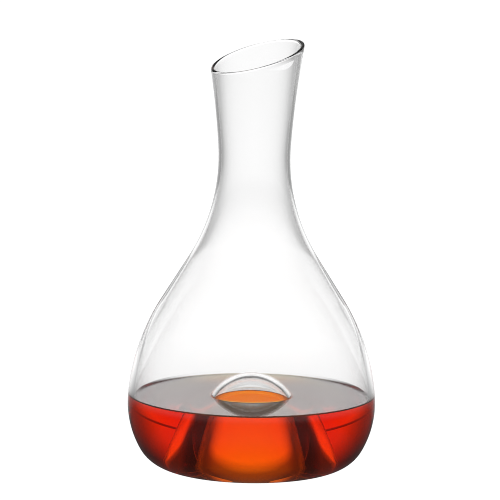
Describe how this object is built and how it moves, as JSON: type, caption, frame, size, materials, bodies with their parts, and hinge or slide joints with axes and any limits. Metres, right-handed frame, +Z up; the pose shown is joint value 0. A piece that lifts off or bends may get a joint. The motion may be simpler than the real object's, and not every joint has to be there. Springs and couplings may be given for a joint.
{
  "type": "wine decanter",
  "caption": "Blown clear glass wine decanter with a broad bowl, pushed-up base, slender flared neck and slant-cut rim, holding red wine to its widest point.",
  "frame": {"origin": "middle of the foot ring, on the surface that the decanter stands on", "axes": "+Z up along the axis of the bowl and neck; +Y towards the high side of the slanted rim"},
  "size_m": [0.185, 0.1848, 0.3184],
  "materials": {
    "clear_glass": "clear, fire polished",
    "red_wine": "clear red liquid"
  },
  "bodies": {
    "root": {"glass_vessel": "clear_glass", "wine_fill": "red_wine"}
  },
  "joints": []
}
